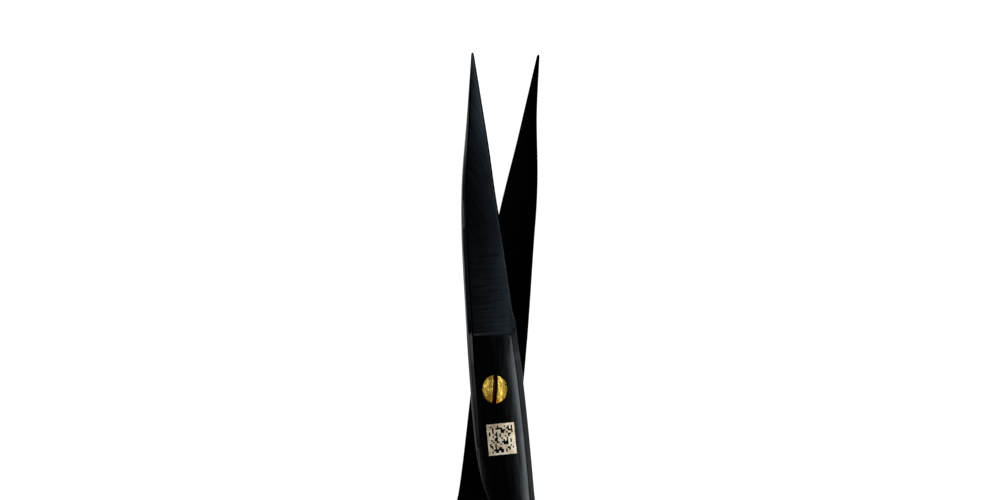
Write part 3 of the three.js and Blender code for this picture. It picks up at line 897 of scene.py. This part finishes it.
def sweep(route, radii, flats, steps=36):
    """A bar in the plane of the shears along plan points. flats are its heights over its widths."""
    route = np.array(route)
    sections = []
    for point, way, radius, flat in zip(route, np.gradient(route, axis=0), radii, flats):
        way = unit(way)
        ring = []
        for a in np.linspace(0, 2 * math.pi, steps, endpoint=False):
            across = radius * math.cos(a)
            ring.append((point[0] + way[1] * across, point[1] - way[0] * across,
                         radius * flat * math.sin(a)))
        sections.append(ring)
    return skin(sections)


def finger_rest():
    """A curved bar that flattens towards its rounded tip, on a stud that sits in the ring."""
    collar, bend, tip, away = rest_route()
    route = [collar + away * out for out in (-2.8, -0.3, -0.299, 0.1)]
    radii = [REST_STUD, REST_STUD, 1.35, 1.55]
    flats = [1, 1, 1, 1]
    last = 0.9 + 0.1 * np.sin(np.linspace(0, math.pi / 2, 12))
    for t in np.concatenate([np.linspace(0, 0.9, 40)[1:], last[1:]]):
        route.append((1 - t) ** 2 * collar + 2 * t * (1 - t) * bend + t * t * tip)
        end = math.sqrt(max(1 - max((t - REST_TIP) / (1 - REST_TIP), 0) ** 2, 0.01))
        radii.append((REST_BAR + 0.22 * math.cos(t * 2 * math.pi) * (1 - 0.3 * t)) * end)
        flats.append(mix(1, 0.86, smooth_step(t, 0.3, 0.9)))
    return new_object("finger_rest_bar", *sweep(route, radii, flats))


def bumper():
    """A rubber stop: a stem in the ring's hole and a grooved, rounded head."""
    profile = [
        (0, -3.98), (1.0, -3.98), (1.1, -3.88), (1.1, -1.98), (1.6, -1.98), (1.7, -1.88), (1.7, -0.6),
        (1.6, -0.5), (1.6, -0.3), (1.7, -0.2), (1.7, 0.55), (1.62, 0.85), (1.42, 1.08), (1.1, 1.21),
        (0.6, 1.25), (0, 1.25)]
    obj = turned("bumper_stop", profile, 64)
    obj.data.transform(Matrix.Translation((0, BUMPER_Y * MM, 0)) @ Matrix.Rotation(-math.pi / 2, 4, "Y"))
    return obj


def ring_insert(name):
    """A soft lining: a rounded inner wall with a lip that laps the metal on each side."""
    lip = 2.12  # height of the lips
    lap = 0.32  # how far they reach over the metal
    inside = -1.2  # the inner wall's middle, outside the ring's hole

    def metal(z):
        """How far outside the hole the ring's rounded corner begins at a height."""
        past = max(abs(z) - (SHEAR_HEIGHT - RING_CORNER), 0)
        return RING_CORNER - math.sqrt(RING_CORNER**2 - past**2)

    outer = [(metal(z) - 0.06, z) for z in np.linspace(-0.95, 0.95, 13) * lip]
    top = [(metal(lip) - 0.02, lip - 0.02), (metal(lip) - 0.12, lip + 0.03)]
    inner = [(mix(lap, inside, 1 - abs(s) ** 3.2), s * (lip - 0.02)) for s in np.linspace(1, -1, 17)]
    low = [(d, -z) for d, z in top[::-1]]
    angles = np.linspace(0, 2 * math.pi, RING_STEPS, endpoint=False)
    sections = [[(*ring_point(a, d), z) for d, z in outer + top + inner + low] for a in angles]
    return new_object(name, *skin(sections, looped=True))


# ------------------------------------------------------------------------------------------------
# A generic square mark in the front half's body: a framed field of scattered square pits


MARK_MODULES = 16
MARK_SIZE = np.array([4.54, 5.1])
MARK_CENTRE = np.array([0.53, -8.22])
MARK_TURN = 1.8  # degrees
MARK_SHARE = 0.57  # of the squares inside the frame that are filled
MARK_SPREAD = 0.06  # how far a filled square may reach over its neighbours, in squares
MARK_LOW, MARK_HIGH = -0.03, 0.006  # heights from the body's surface


def mark_point(i, j, rise):
    """A corner of the mark's squares, at a height above the body's crown."""
    turn = math.radians(MARK_TURN)
    a, b = (np.array([i, j]) / MARK_MODULES - 0.5) * MARK_SIZE
    x = MARK_CENTRE[0] + a * math.cos(turn) - b * math.sin(turn)
    y = MARK_CENTRE[1] + a * math.sin(turn) + b * math.cos(turn)
    return x, y, Section(y, 1).body(x) + rise


def square_mark():
    """Small flat squares with gaps between them, so that the dark body shows through."""
    draw = np.random.RandomState(11)
    filled = draw.rand(MARK_MODULES, MARK_MODULES) < MARK_SHARE
    filled[[0, -1], :] = True
    filled[:, [0, -1]] = True
    vertices, faces = [], []
    for i, j in zip(*np.nonzero(filled)):
        low_i, high_i = i - MARK_SPREAD * draw.rand(), i + 1 + MARK_SPREAD * draw.rand()
        low_j, high_j = j - MARK_SPREAD * draw.rand(), j + 1 + MARK_SPREAD * draw.rand()
        ring = [(low_i, low_j), (high_i, low_j), (high_i, high_j), (low_i, high_j)]
        n = len(vertices)
        vertices += [mark_point(a, b, rise) for rise in (MARK_LOW, MARK_HIGH) for a, b in ring]
        faces += [(n + 3, n + 2, n + 1, n), (n + 4, n + 5, n + 6, n + 7)]
        faces += [(n + k, n + (k + 1) % 4, n + 4 + (k + 1) % 4, n + 4 + k) for k in range(4)]
    return new_object("square_mark", vertices, faces)


# ------------------------------------------------------------------------------------------------
# The pieces

settle(front_half(), FRONT_PLACE, "front_body", None, "front_half")
settle(rear_half(), REAR_PLACE, "rear_body", None, "rear_half")
settle(finger_rest(), REAR_PLACE, "rear_body", BODY_STEEL, "finger_rest")
settle(bumper(), REAR_PLACE, "rear_body", RUBBER, "bumper")
settle(ring_insert("finger_ring_lining"), REAR_PLACE, "rear_body", RUBBER,
       "finger_ring_insert", 50)
settle(ring_insert("thumb_ring_lining"), FRONT_PLACE, "front_body", RUBBER,
       "thumb_ring_insert", 50)
settle(pivot_screw(), PIVOT_PLACE, "rear_body", None, "pivot_screw")
settle(lock_nut(), PIVOT_PLACE, "rear_body", GOLD, "lock_nut")
settle(square_mark(), FRONT_PLACE, "front_body", MARK)
for washer, material in (("glide_washer", WASHER), ("spring_washer", SPRING)):
    frame["nodes"][washer].data.materials.clear()
    frame["nodes"][washer].data.materials.append(material)


# ------------------------------------------------------------------------------------------------
# Floor, light and camera


LIGHT_DISTANCE = 0.9  # metres
PICTURE_WIDTH = 0.165  # metres
PICTURE_ROLL = 1.8  # degrees
PICTURE_CENTRE = (0.00084, 0.0229)  # across and up the rolled picture, in metres from the pivot
CAMERA_HEIGHT = 1.2  # metres


def stage_floor():
    """A plain pale floor that glows a little less than white."""
    floor = block("floor", (3000, 3000, 2), (0, 0, -1))
    material, _, shader = base_material("pale_floor", Roughness=0.9, Metallic=0.0)
    shader.inputs["Base Color"].default_value = (0.3, 0.3, 0.3, 1)
    shader.inputs["Emission Color"].default_value = (1, 1, 1, 1)
    shader.inputs["Emission Strength"].default_value = 0.97
    floor.data.materials.append(material)


def soft_light(name, tilt, bearing, size, power, colour=(1, 1, 1)):
    """An area light that looks at the body. tilt is from straight up, bearing from +X, in degrees."""
    data = bpy.data.lights.new(name, "AREA")
    data.shape = "RECTANGLE"
    data.size_y, data.size = size
    data.energy = power
    data.color = colour
    light = bpy.data.objects.new(name, data)
    bpy.context.scene.collection.objects.link(light)
    t, b = math.radians(tilt), math.radians(bearing)
    way = Vector((math.sin(t) * math.cos(b), math.sin(t) * math.sin(b), math.cos(t)))
    light.location = Vector((0, 0.01, 0)) + way * LIGHT_DISTANCE
    light.rotation_mode = "QUATERNION"
    light.rotation_quaternion = way.to_track_quat("Z", "Y")
    light.visible_camera = False


def studio():
    """Long soft lights for the crown and the ground face, two broad fills, and a dim world."""
    soft_light("soft_right", 28, 0, (0.14, 0.9), 3.9, (0.9, 0.96, 1))
    soft_light("soft_left", 78, 177, (0.5, 0.28), 1.2, (1, 0.98, 0.9))
    soft_light("small_left", 46, 180, (0.14, 0.3), 0.8)
    soft_light("low_right", 84, 18, (0.2, 0.5), 0.36, (0.85, 0.95, 1))
    soft_light("back_fill", 64, 90, (0.45, 1.4), 4.2)
    soft_light("front_fill", 64, 270, (0.45, 1.4), 4.2)
    world = bpy.data.worlds.new("studio")
    world.use_nodes = True
    background = world.node_tree.nodes["Background"]
    background.inputs["Color"].default_value = (1, 1, 1, 1)
    background.inputs["Strength"].default_value = 0.02
    bpy.context.scene.world = world


def photo_camera():
    """Looks straight down, as in the photo, with the picture rolled a little."""
    roll = math.radians(PICTURE_ROLL)
    data = bpy.data.cameras.new("camera")
    data.sensor_width = 36
    data.lens = data.sensor_width * CAMERA_HEIGHT / PICTURE_WIDTH
    data.clip_start, data.clip_end = 0.01, 10
    camera = bpy.data.objects.new("camera", data)
    bpy.context.scene.collection.objects.link(camera)
    right = Vector((math.cos(roll), math.sin(roll), 0))
    up = Vector((-math.sin(roll), math.cos(roll), 0))
    centre = right * PICTURE_CENTRE[0] + up * PICTURE_CENTRE[1]
    camera.location = centre + Vector((0, 0, CAMERA_HEIGHT))
    camera.rotation_euler = (0, 0, roll)
    bpy.context.scene.camera = camera


stage_floor()
studio()
photo_camera()
bpy.context.scene.view_settings.view_transform = "Standard"
